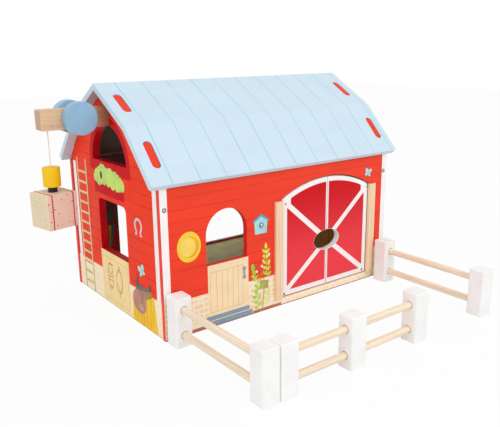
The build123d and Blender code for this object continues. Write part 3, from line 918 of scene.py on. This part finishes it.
def butterfly(name, place, a, u, size, turn):
    """Two broad upper wings in a V and two smaller ones below, on a thin body."""
    wings = Print()
    for lean, reach in ((40, 1.0), (-40, 1.0), (116, 0.7), (-116, 0.7)):
        angle = math.radians(lean + turn)
        out = Vector((-math.sin(angle), math.cos(angle))) * size * 0.5 * reach
        wings.disc(a + out.x, u + out.y, size * 0.3 * reach, size * 0.48 * reach, lean + turn)
    wings.lay(name, place, "wing")
    angle = math.radians(turn)
    body = Vector((-math.sin(angle), math.cos(angle))) * size * 0.36
    spot = Vector((a, u))
    Print().bar(spot - body, spot + body, 0.7).lay(name + "_body", place, "teal", 0.2)


def flowers(name, petal, *spots):
    """Five round white petals about each spot on the front wall."""
    bloom = Print()
    for a, u in spots:
        for k in range(5):
            turn = math.tau * k / 5
            aside = Vector((math.sin(turn), math.cos(turn))) * petal * 1.3
            bloom.disc(a + aside.x, u + aside.y, petal, petal, sides=10)
    bloom.lay(name, FRONT, "white", 0.4)


# ---- front wall ----
def front_prints():
    """Strips, bricks, half-door, steps, hat and birdhouse, and the liner behind the window."""
    bands("front_strips", FRONT, "white", BRICK_TOP, WALL_TOP - 0.3, (-189.8, -180.2), (181, 189.8))
    bands("front_bricks", FRONT, "bricks", 1.2, BRICK_TOP, (-189.8, -22.9), (165.3, 189.8), lift=0.1)
    bands("door_bricks", FRONT, "sill_bricks_painted_light", 1.2, POST_FOOT + 0.1, (-22.9, 165.3), lift=0.1)
    half_door("front_half_door", FRONT, "cream", -128, -66.2, 15.6, 81.3,
              (-124.6, -75.4, 19.6, 72), (-115.4, -107, -98.7, -90.4, -82.4))
    Print().disc(-72.6, 66.6, 2.9, 2.9).disc(-72.6, 55.2, 2.9, 2.9).lay(
        "front_handle_plates", FRONT, "handle", 0.3)
    Print().patch(-73.9, 55.2, -71.3, 66.6).lay("front_handle_bar", FRONT, "step_blue", 0.34)
    Print().patch(-131.8, 9, -65, 14.8).outline((-124, 1.2), (-60, 1.2), (-60, 7.9), (-126.5, 7.9)).lay(
        "front_steps", FRONT, "step_blue", 0.24)
    Print().patch(-59, 1, -11, 4.4).patch(-166, 1, -126.8, 4.6).lay("front_path", FRONT, "earth", 0.16)
    flowers("path_daisies", 0.9, (-153, 10.4), (-147.6, 8.2), (-142, 11), (-137, 8.6))
    liner = Print().arc(-98.4, 118.9, 31.9, 2.4, 0, 180)
    liner.patch(-131.5, 81.5, -129.1, 118.9).patch(-67.7, 81.5, -65.3, 118.9).patch(-131.5, 79.1, -65.3, 81.5)
    liner.lay("window_liner", FRONT_INSIDE, "window", 1.7)
    Print().disc(-153.2, 111.2, 16.5, 18.8, sides=48).lay("hat_brim", FRONT, "hat")
    Print().disc(-151.9, 110.9, 12.6, 12.9, sides=40).lay("hat_band", FRONT, "amber", 0.2)
    Print().disc(-154.6, 111.2, 10.6, 11.8, sides=40).lay("hat_crown", FRONT, "straw_light", 0.28)
    Print().outline((-54.8, 107.6), (-36.2, 107.2), (-34.6, 124), (-44.8, 131.4), (-55.8, 123.8)).lay(
        "birdhouse", FRONT, "sky")
    Print().outline((-57.4, 122.8), (-44.8, 130.2), (-32.8, 122.8), (-32.8, 125.6), (-44.8, 133),
                    (-57.4, 125.6)).lay("birdhouse_roof", FRONT, "teal", 0.2)
    Print().arc(*BIRDHOUSE_HOLE, 3.3, 1.6, 0, 360).lay("birdhouse_ring", FRONT, "teal", 0.2)
    Print().disc(*BIRDHOUSE_HOLE, 2.6, 2.6).lay("birdhouse_hole", FRONT, "orange", 0.17)
    Print().arc(*BIRDHOUSE_HOLE, 2.3, 1.2, 80, 150).lay("birdhouse_shade", FRONT, "navy", 0.24)
    flowers("birdhouse_bloom", 0.6, (-44.6, 119.2))
    butterfly("butterfly_front", FRONT, 151.5, 160.8, 9.2, -14)


def sprig(name, ink, stalk, wide, high, leaves):
    """A stalk through its points, with leaves given as (across, up, lean to the left)."""
    green = Print()
    for start, end in zip(stalk, stalk[1:]):
        green.bar(start, end, 0.7)
    for a, u, lean in leaves:
        green.disc(a, u, wide, high, lean, 0.5, 14)
    green.lay(name, FRONT, ink, 0.3)


def climbing_plant():
    """Leafy stems beside the doors, with a label stuck in the bed."""
    sprig("plant_tall", "leaf", ((-35.4, 44), (-36.6, 56), (-36.2, 70), (-37.4, 86)), 2.2, 4.3,
          ((-37.4, 89.6, 0), (-40.2, 82.9, 52), (-34.6, 82.4, -48), (-39.6, 75.3, 50), (-33.8, 75.7, -44),
           (-40.6, 68.5, 38), (-32.6, 66.4, -14), (-39.4, 60, 62), (-33, 58.4, -38), (-38.6, 52.6, 66),
           (-32.6, 50.6, -56)))
    Print().disc(-59, 64.4, 2.9, 5.2, 8, 0.3, 18).disc(-57.6, 57.6, 2.6, 3.4, 30, 0.3, 16).lay(
        "plant_fresh_leaves", FRONT, "leaf_fresh", 0.34)
    sprig("plant_left", "leaf", ((-56.2, 46), (-57.6, 61)), 1.9, 3.6,
          ((-58.6, 51.6, 48), (-54.4, 49.4, -46), (-57, 46.6, 70)))
    sprig("plant_bed", "leaf", ((-50.6, 4), (-51.4, 22), (-52.2, 34), (-50.4, 43)), 2.1, 4,
          ((-49.6, 44.8, -36), (-54.2, 38, 48), (-50, 33.6, -44), (-54.8, 30, 46), (-56.4, 22.8, 72),
           (-48.4, 21.6, -30), (-54.8, 15.4, 76), (-47.4, 12.4, -24), (-53.8, 8, 62)))
    sprig("plant_pale", "leaf_pale", ((-36.4, 4), (-36.8, 16), (-35.4, 29)), 2, 3.8,
          ((-33.6, 27.8, -42), (-38, 25, 46), (-33.2, 20.8, -44), (-39.2, 17.6, 46), (-33.8, 13.6, -44),
           (-39, 10.4, 48)))
    twigs = (((-49.6, 44), (-51.6, 55)), ((-46.4, 44), (-44.4, 56.4)), ((-46, 49), (-48.4, 53.6)),
             ((-41, 44), (-42.6, 52)), ((-30.6, 66.4), (-29.4, 72.6)), ((-55.4, 53), (-52.6, 58)))
    Print().bars(0.9, *twigs).lay("plant_twigs", FRONT, "rust", 0.26)
    berries = Print()
    for a, u in ((-51, 51.6), (-45.2, 53), (-42.4, 56.4), (-55.2, 54.4), (-31.4, 61), (-47.4, 47.6)):
        berries.disc(a, u, 1, 1, sides=10)
    berries.lay("plant_berries", FRONT, "amber", 0.42)
    flowers("plant_blossom", 0.8, (-44.1, 63.2), (-52.9, 57.5), (-32.4, 76.8))
    Print().bar((-40.9, 31.4), (-43.5, 5.4), 1.3).outline(
        (-48.1, 32.6), (-34, 30.6), (-33.4, 42), (-47.2, 44), soften=0.8).lay(
        "plant_label", FRONT, "label", 0.5)
    Print().disc(-40.4, 37.4, 2.7, 7.2, -58, 0.4, 16).disc(-45, 34.4, 1.8, 3, 30, 0.4, 12).lay(
        "plant_label_leaf", FRONT, "leaf_fresh", 0.56)


# ---- gable over the hoist ----
def ladder():
    """Two rails and twelve rungs, with a brown shade along one side."""
    wood = Print()
    shadow = Print()
    for a in LADDER_RAILS:
        wood.patch(a - 1.6, 1, a + 1.6, 193)
        shadow.patch(a - 2.5, 0.8, a, 193)
    for k in range(12):
        u = LADDER_FIRST_RUNG + LADDER_STEP * k
        wood.patch(LADDER_RAILS[0], u - 1.6, LADDER_RAILS[1], u + 1.6)
        shadow.patch(LADDER_RAILS[0] + 3, u - 2.6, LADDER_RAILS[1] - 3, u)
    shadow.lay("ladder_shade", LEFT, "shade")
    wood.lay("ladder", LEFT, "tan", 0.2)


def loft_front():
    """The crimson frame round the hayloft, its panel, and the bush on the panel."""
    around = Print().arc(0, LOFT_SILL, 53.7, 8.8, 0, 180, steps=40)
    around.patch(-58.1, LOFT_SILL, -49.3, 197.9).patch(49.3, LOFT_SILL, 58.1, 197.9)
    around.patch(-58.1, LOFT_SILL - 14, 58.1, LOFT_SILL - 0.4).lay("loft_frame", LEFT, "crimson")
    Print().patch(-38, 153.6, 48, LOFT_SILL - 14.2).lay("loft_panel", LEFT, "crimson")
    bush = ((48.2, 172.3), (46.5, 178.5), (43, 183.6), (36, 185.5), (29, 189.5), (19.8, 193.2), (13, 190.5),
            (7.8, 186.6), (0.7, 190.6), (-8, 187), (-14, 188), (-21.6, 186), (-28, 183), (-34, 181),
            (-38.5, 177), (-39.8, 172), (-38.6, 168), (-31, 167.6), (-24.2, 165.2), (-14, 167),
            (0, 168.5), (12, 169.6), (21.6, 169), (29, 167.6), (35.7, 164.8), (38.5, 169), (44, 168.4))
    Print().scallops(*reversed(bush)).lay("loft_bush", LEFT, "bush", 0.2)
    Print().disc(26, 179, 3.2, 5.2).lay("loft_bush_knot", LEFT, "bush_dark", 0.26)


def saddle_on_straw():
    """A saddle thrown over a straw bale, beside the side door."""
    straw = ((-109.6, 0.8), (-43.8, 0.8), (-45.8, 18), (-47, 38), (-54, 45), (-97, 46), (-104, 46.2),
             (-106.4, 26))
    pad = ((-80.4, 51), (-95.8, 53.4), (-99, 46), (-81, 37.4))
    flap = ((-58.6, 48), (-50.4, 41), (-47.4, 34), (-46.4, 27.5), (-50.6, 20), (-61.6, 15), (-73.2, 15.6),
            (-81, 23), (-83.2, 35), (-81.6, 43), (-79, 50))
    seat = ((-56.8, 46), (-67.4, 46.6), (-82.7, 49), (-95, 52.6), (-94.6, 57.4), (-86, 54.8), (-77, 54),
            (-68, 54.6), (-63.4, 56), (-58.4, 53))
    stalks = (((-95.3, 43), (-91.2, 2.4)), ((-85, 32), (-82.8, 3)), ((-75.6, 15), (-74.2, 2)),
              ((-69.4, 14), (-68.2, 3)), ((-57.4, 14), (-56.4, 3)), ((-51, 20), (-49.6, 5)),
              ((-101.4, 38), (-98.8, 8)))
    Print().outline(*straw, soften=2.4).lay("straw_bale_print", LEFT, "straw", 0.2)
    Print().bars(0.9, *stalks, end_width=0.5).lay("straw_bale_lines", LEFT, "stalk", 0.26)
    Print().outline(*pad, soften=2).lay("saddle_pad", LEFT, "olive", 0.3)
    Print().outline(*flap, soften=3).lay("saddle_flap", LEFT, "brown", 0.38)
    Print().outline(*seat, soften=1.6).lay("saddle_seat", LEFT, "hide", 0.46)
    Print().bar((-62.6, 66.2), (-60.6, 50), 2.2, 5.2).bar((-94.2, 60.2), (-92.8, 52.4), 4.8, 4).lay(
        "saddle_horn", LEFT, "horn", 0.54)
    strap = (((-66.6, 47), (-71.6, 36)), ((-71.6, 36), (-72.6, 28.6)), ((-76.4, 46.6), (-74.4, 35)))
    Print().bars(1, *strap).lay("saddle_strap", LEFT, "bark", 0.44)
    stirrup = Print().arc(-68.8, 23.4, 4.4, 1.2, 0, 180).bar((-74, 22.8), (-63.6, 22.8), 1.5)
    stirrup.lay("saddle_stirrup", LEFT, "pale", 0.5)


def gable_prints():
    """Strips, bricks, side door with rope and bridle, ladder, loft, horseshoe and saddle."""
    bands("left_strips", LEFT, "white", BRICK_TOP, WALL_TOP, (-120.4, -111), (110, 119))
    bands("left_bricks", LEFT, "gable_bricks_painted_sheen", 0.7, BRICK_TOP, (-122.8, -39.2), (42.7, 122.8), lift=0.1)
    half_door("left_half_door", LEFT, "corn", -39, 42.5, 0.7, 74.8, (-35.6, 38.8, 7, 66.6), ())
    joints = [(a - 0.25, a + 0.25) for a in [-35.6 + 8.27 * k for k in range(1, 9)]]
    bands("left_half_door_planks", LEFT, "corn_line", 7.4, 66.2, *joints, lift=0.24)
    ladder()
    loft_front()
    shoe = Print().arc(-71.7, 130.8, 8.3, 3.2, -48, 276)
    shoe.bars(3, ((-66.6, 124.8), (-66.2, 119.4)), ((-76.8, 124.8), (-77.2, 119.4)))
    shoe.bars(2, ((-62.8, 119.6), (-67.6, 119.6)), ((-75.8, 119.6), (-80.6, 119.6)))
    shoe.lay("horseshoe", LEFT, "iron")
    butterfly("butterfly_left", LEFT, -74.9, 72.4, 11.4, -24)
    rope = Print()
    for radius, width, start, sweep in ((16.2, 1.7, 0, 360), (13.8, 0.8, 20, 330)):
        rope.arc(-9.2, 40.4, radius, width, start, sweep, squeeze=0.54)
    rope.bars(1.2, ((-9.6, 56.8), (-12, 61.4)), ((-9.6, 56.8), (-7.2, 61)), ((-8.4, 24), (-9.6, 17.4)))
    rope.lay("rope_ring", LEFT, "line_brown", 0.28)
    bridle = Print().arc(16.6, 52, 7.6, 1.2, 0, 360, squeeze=0.72)
    bridle.arc(16.6, 32, 7.2, 1.2, 180, 180, squeeze=0.9)
    bridle.bar((22.6, 57.4), (7.6, 58.6), 1.3)
    bridle.bars(1.2, ((10.2, 50), (10.2, 32)), ((23.2, 50), (23.2, 32)), ((9.6, 41), (23.8, 40.4)),
                ((11.4, 35.4), (25, 35.6)))
    bridle.arc(18, 24.4, 3.2, 1.1, 0, 360).lay("bridle", LEFT, "line_brown", 0.28)
    saddle_on_straw()


# ---- right gable and back wall ----
def far_prints():
    """White strips and bricks as at the front, and the prize ribbons inside."""
    bands("right_strips", RIGHT, "white", BRICK_TOP, WALL_TOP, (-119, -110), (110, 119))
    bands("right_bricks", RIGHT, "gable_bricks_painted_sheen", 0.7, BRICK_TOP, (-122.8, 122.8), lift=0.1)
    bands("back_strips", BACK, "white", BRICK_TOP, WALL_TOP - 0.3, (-189.8, -180.2), (180.2, 189.8))
    bricks = Print().patch(-189.8, 0.7, -124.2, BRICK_TOP).patch(124.2, 0.7, 189.8, BRICK_TOP)
    bricks.patch(-124.2, 0.7, 124.2, 16.8).lay("back_bricks", BACK, "bricks", 0.1)
    Print().bar((-138.4, 80), (-140.6, 44), 5.2, 1.6).lay("prize_ribbon_green", BACK_INSIDE, "ribbon_green")
    Print().bar((-132.4, 80), (-138.4, 46), 4, 1.2).lay("prize_ribbon_blue", BACK_INSIDE, "ribbon_blue", 0.2)
    Print().disc(-139.5, 95, 5, 7.5, sides=24).lay("prize_rosette", BACK_INSIDE, "ribbon_rosette", 0.26)


front_prints()
climbing_plant()
gable_prints()
far_prints()


# ---- doors ----
def door_panels(name, body, side, place):
    """A leaf's three red panels, between its white arch, stile, foot and braces."""
    half = BRACE_WIDTH / 2

    def brace(end, u, edge):
        """The point on a brace's upper (1) or lower (-1) edge, u away from the leaves' meeting line."""
        rise = (end[1] - FINGER_HOLE_HEIGHT) / end[0]
        return u, FINGER_HOLE_HEIGHT + u * rise + edge * half * math.hypot(1, rise)

    stile, inner = DOOR_STILE, FINGER_HOLE[0] / 3
    foot = DOOR_FOOT + DOOR_BAND
    rise = (BRACE_FOOT[1] - FINGER_HOLE_HEIGHT) / BRACE_FOOT[0]
    corner = (foot + half * math.hypot(1, rise) - FINGER_HOLE_HEIGHT) / rise
    arch = [TOP_PANEL_REACH - k * (TOP_PANEL_REACH - stile) / 24 for k in range(25)]
    top = [brace(BRACE_TOP, stile, 1), brace(BRACE_TOP, TOP_PANEL_REACH, 1)]
    top += [(u, PANEL_ARCH_CENTRE + math.sqrt(PANEL_ARCH_RADIUS**2 - u**2)) for u in arch]
    middle = [brace(BRACE_TOP, inner, -1), brace(BRACE_TOP, SIDE_PANEL_REACH, -1),
              brace(BRACE_FOOT, SIDE_PANEL_REACH, 1), brace(BRACE_FOOT, inner, 1)]
    low = [brace(BRACE_FOOT, stile, -1), (corner, foot), (stile, foot)]
    sheet = Print()
    for points, corners in ((top, (1, 2)), (middle, (1, 2)), (low, (1,))):
        sheet.outline(*[(DOOR_MIDDLE + side * u, z) for u, z in points], soften=1.6, corners=corners)
    panels = sheet.lay(name, place, "door", 0.15, body, "door_red")
    hole = bmesh.new()
    bmesh.ops.create_cone(hole, cap_ends=True, segments=64, radius1=1, radius2=1, depth=20)
    bmesh.ops.scale(hole, verts=hole.verts, vec=(FINGER_HOLE[0] + 0.4, FINGER_HOLE[1] + 0.4, 1))
    bmesh.ops.translate(hole, verts=hole.verts, vec=(DOOR_MIDDLE, FINGER_HOLE_HEIGHT, 0))
    move(hole, place)
    cut_with(panels, hole)


def rail_entry_shades():
    """Painted shade round the rails: a dark ring on each side of a post that a rail leaves by, where its
    hole's gap would be in shadow.
    """
    for fence, along in (("fence_left", 1), ("fence_front", 0), ("fence_right", 1)):
        across = (along, 1 - along, 0)
        posts = [name for name in nodes if name.startswith(fence + "_post")]
        for rail in ("rail_lower", "rail_upper"):
            start, end = span(fence + "_" + rail)
            centre = (start + end) / 2
            radius = (end.z - start.z) / 2 + HOLE_SHADE_GAP
            for post in posts:
                foot, top = span(post)
                for out, face, reach in ((-1, foot[along], foot[along] - start[along]),
                                         (1, top[along], end[along] - top[along])):
                    if reach < 1:
                        continue
                    facing = (out * (1 - along), out * along, 0)
                    name = "%s_rim_%s_%s_%d" % (fence, rail[5:], post[len(fence) + 6:], out + 1)
                    Print().arc(centre[1 - along], centre.z, radius, 2 * HOLE_SHADE_GAP, 0, 360).lay(
                        name, wall_place(across, facing, out * face), "hole_shade_ring", 0.03, fence, "fence_white")


def door_prints():
    """Each leaf's panels on both faces, and the two nails at its hinge edge."""
    leaves = (("door_left", -1), ("door_right", 1))
    for body, side in leaves:
        door_panels(body + "_panels", body, side, FRONT)
        door_panels(body + "_back_panels", body, side, DOOR_BACK)
    for tone, spots in (("pale", ((-3.9, 139.8), (149.3, 141.7))), ("brown", ((-6.3, 14.2), (145.3, 15.7)))):
        for (body, side), (a, u) in zip(leaves, spots):
            nail = Print().disc(a, u, 1.7, 1.7, sides=18)
            nail.lay("%s_nail_%s" % (body, tone), FRONT, "nail_" + tone, 0.12, body, "pin_steel")


door_prints()
rail_entry_shades()


# ---- bale straps ----
def bale_straps():
    """Two red bands printed round the block, across its top, sides and underside."""
    ink = paint("strap_red", STRAP_RED, 0.04)
    middle = (bale_low.z + bale_high.z) / 2
    place = Matrix.Translation((STRING_X * MM, 0, middle * MM)) @ turned(BALE_TURN) @ Matrix.Scale(MM, 4)
    for number, at in enumerate(STRAP_PLACES):
        bm = bmesh.new()
        bmesh.ops.create_grid(bm, x_segments=1, y_segments=1, size=0.5)
        high = bale_high.z - bale_low.z
        bmesh.ops.scale(bm, verts=bm.verts, vec=(BALE_DEPTH + 0.3, high + 0.3, 1))
        bmesh.ops.bevel(bm, geom=bm.verts[:], offset=0.9, segments=1, profile=0.5, affect="VERTICES",
                        material=-1)
        bmesh.ops.inset_individual(bm, faces=bm.faces[:], thickness=1.2)
        inside = min(bm.faces, key=lambda f: f.calc_center_median().length)
        bmesh.ops.delete(bm, geom=[inside], context="FACES")
        thicken(bm, STRAP_WIDTH)
        move(bm, place @ Matrix.Translation((at, 0, 0)) @ turned(90) @ turned(90, "X"))
        piece("bale_strap_%d" % (number + 1), bm, ink, "bale")


bale_straps()


# ---- floor, world and lamps ----
def show_white(tree, output, plain, white, most):
    """Mixes in white for rays from the camera, off gloss and through glass; others see it plain."""
    tree.nodes.clear()
    mixed = Nodes(tree)
    path = mixed.add("ShaderNodeLightPath").outputs
    rays = mixed.maths("MAXIMUM", path["Is Camera Ray"], path["Is Glossy Ray"])
    rays = mixed.maths("MAXIMUM", rays, path["Is Transmission Ray"])
    share = mixed.add("ShaderNodeMixShader")
    mixed.feed(share.inputs[0], mixed.maths("MULTIPLY", rays, most))
    for socket, (kind, looks) in zip(share.inputs[1:], (plain, white)):
        shader = mixed.add(kind)
        for name, value in looks.items():
            shader.inputs[name].default_value = value
        mixed.feed(socket, shader.outputs[0])
    mixed.feed(mixed.add(output).inputs[0], share.outputs[0])


def studio():
    """A pale floor that keeps the barn's shadow, an even pale world and two soft lamps."""
    ground = bmesh.new()
    bmesh.ops.create_grid(ground, x_segments=1, y_segments=1, size=FLOOR_HALF)
    floor = mesh_object("studio_floor", ground)
    material = bpy.data.materials.new("studio_floor")
    floor.data.materials.append(material)
    world = bpy.data.worlds.new("studio")
    bpy.context.scene.world = world
    material.use_nodes = world.use_nodes = True
    grey = {"Color": (FLOOR_GREY, FLOOR_GREY, FLOOR_GREY, 1)}
    pale = {"Color": (1, 1, 1, 1), "Strength": WORLD_LIGHT}
    white = {"Color": (1, 1, 1, 1), "Strength": 1}
    show_white(material.node_tree, "ShaderNodeOutputMaterial", ("ShaderNodeBsdfDiffuse", grey),
               ("ShaderNodeEmission", white), FLOOR_WHITE)
    show_white(world.node_tree, "ShaderNodeOutputWorld", ("ShaderNodeBackground", pale),
               ("ShaderNodeBackground", white), 1.0)
    for name, spot, power in LAMPS:
        data = bpy.data.lights.new(name, "AREA")
        data.size = LAMP_SIZE
        data.energy = power
        lamp = add_object(name, data)
        aim = Vector(LAMP_AIM) - Vector(spot)
        lamp.matrix_world = Matrix.Translation(spot) @ aim.to_track_quat("-Z", "Y").to_matrix().to_4x4()
    bpy.context.scene.view_settings.view_transform = "Standard"


studio()
